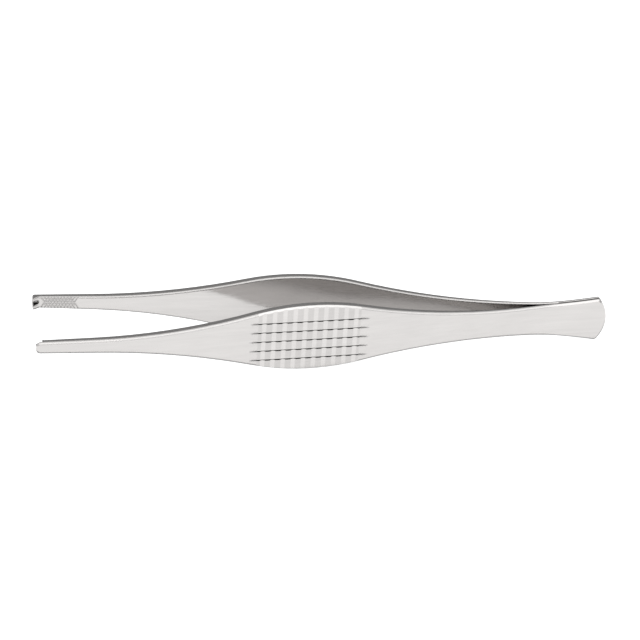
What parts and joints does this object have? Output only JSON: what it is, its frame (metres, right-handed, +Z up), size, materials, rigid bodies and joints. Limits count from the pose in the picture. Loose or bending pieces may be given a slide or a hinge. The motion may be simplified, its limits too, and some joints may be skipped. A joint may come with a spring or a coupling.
{
  "type": "thumb forceps",
  "caption": "Toothed thumb forceps: bowed steel spring arms welded at the tail, with broad checkered grips and narrow jaws whose teeth interlock.",
  "frame": {"origin": "middle of the bounding box in plan, on the surface that the forceps lie on", "axes": "+X along the forceps from the tips to the tail, +Y from the front arm to the rear arm, the way that the arms open, +Z up, across the width of the grips"},
  "size_m": [0.1799, 0.0304, 0.0226],
  "materials": {
    "satin_steel": "satin",
    "weld_metal": "dull"
  },
  "bodies": {
    "root": {"front_arm": "satin_steel", "rear_arm": "satin_steel", "tail_weld": "weld_metal"}
  },
  "joints": []
}
